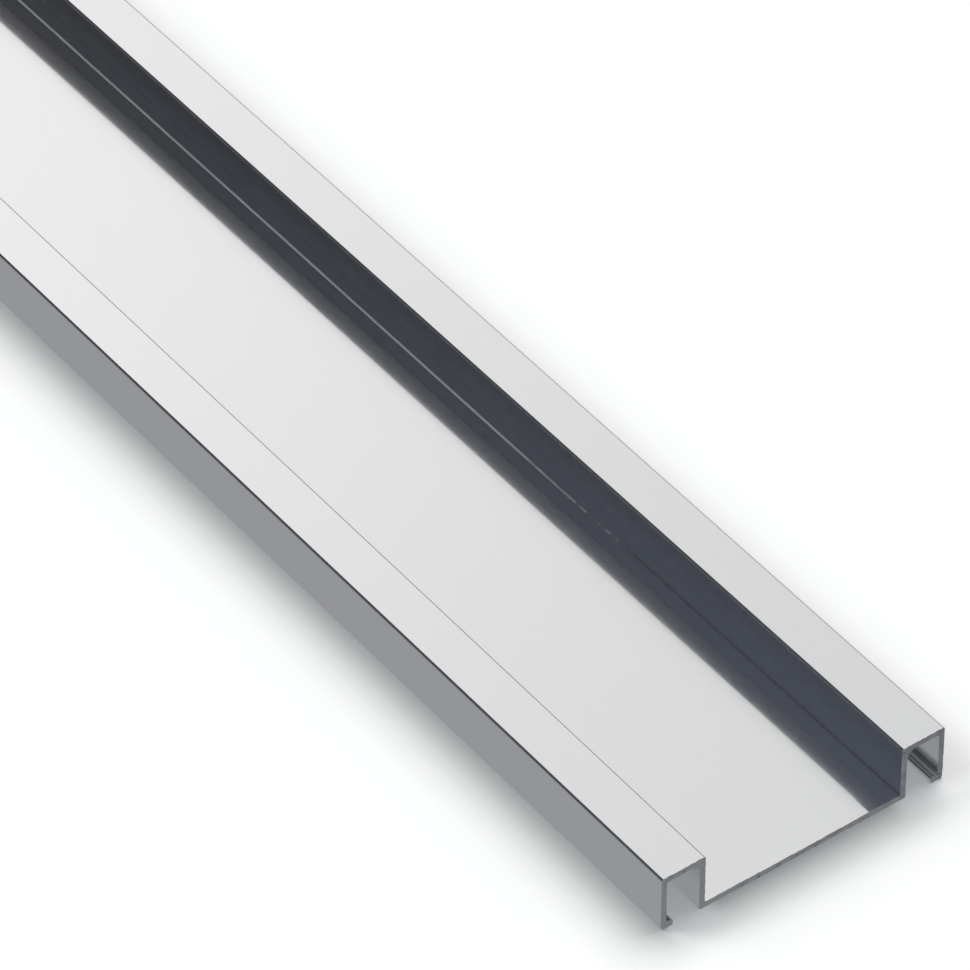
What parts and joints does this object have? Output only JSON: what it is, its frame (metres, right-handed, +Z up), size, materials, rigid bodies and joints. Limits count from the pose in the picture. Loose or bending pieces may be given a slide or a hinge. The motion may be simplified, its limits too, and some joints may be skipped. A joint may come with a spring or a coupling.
{
  "type": "tile edge profile",
  "caption": "Double-rail tile edge profile: an aluminium extrusion with two square rails, open below, joined by a thin web that floors a channel for a strip of tile.",
  "frame": {"origin": "middle of the underside, halfway along the length, on the plane that the web and the lips rest on", "axes": "+X along the length, +Y across the section, +Z up to the visible caps"},
  "size_m": [2.5, 0.06, 0.012],
  "materials": {
    "bright_aluminium": "bright polished and clear anodised"
  },
  "bodies": {
    "root": {"double_rail_profile": "bright_aluminium"}
  },
  "joints": []
}
